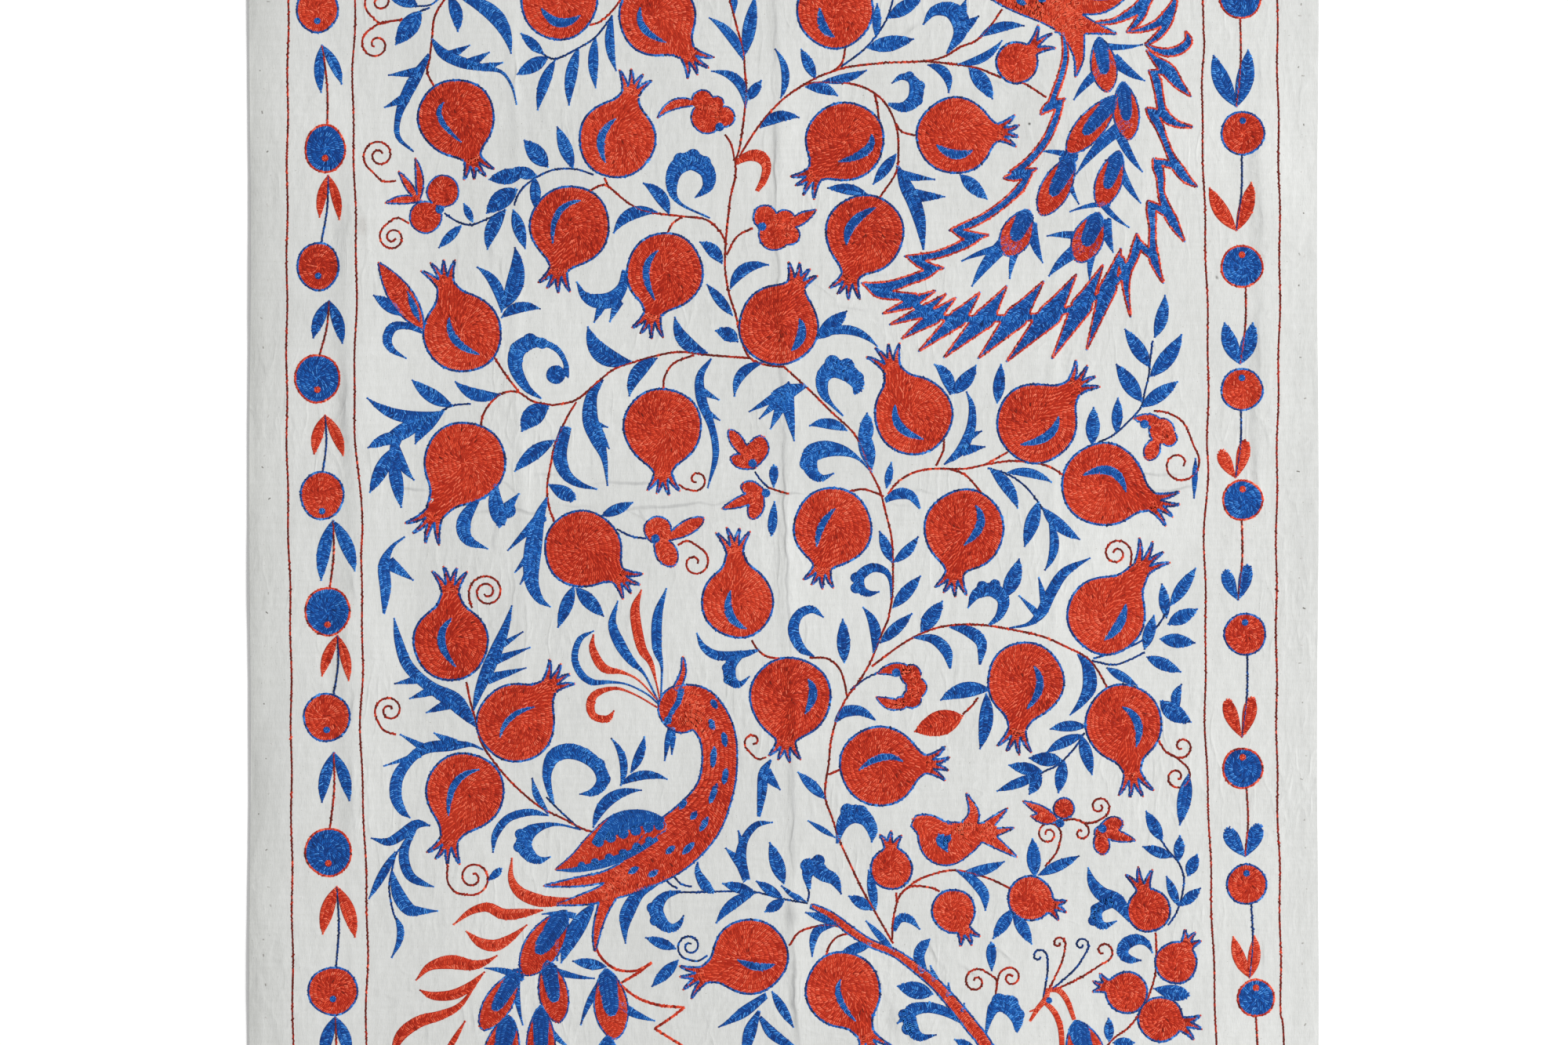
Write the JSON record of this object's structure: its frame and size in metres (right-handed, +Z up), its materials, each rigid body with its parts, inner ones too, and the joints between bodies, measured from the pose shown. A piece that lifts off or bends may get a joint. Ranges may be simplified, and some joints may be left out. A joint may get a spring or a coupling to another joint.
{
  "type": "suzani embroidered textile",
  "caption": "Large suzani of off-white cotton with a turned hem, embroidered in red and blue silk with a pomegranate vine, peacocks and a bead-and-leaf border, lying flat in its creases.",
  "frame": {"origin": "under the middle of the cloth, on the surface it lies on", "axes": "+X across the cloth, +Y along its length towards the top of the design, +Z up from the surface, out of the embroidered face"},
  "size_m": [1.364, 2.28, 0.0064],
  "materials": {
    "cotton": "matte plain weave, off-white",
    "red_silk": "soft silk thread, madder red",
    "blue_silk": "soft silk thread, mid blue"
  },
  "bodies": {
    "root": {"suzani_cloth": "cotton"}
  },
  "joints": []
}
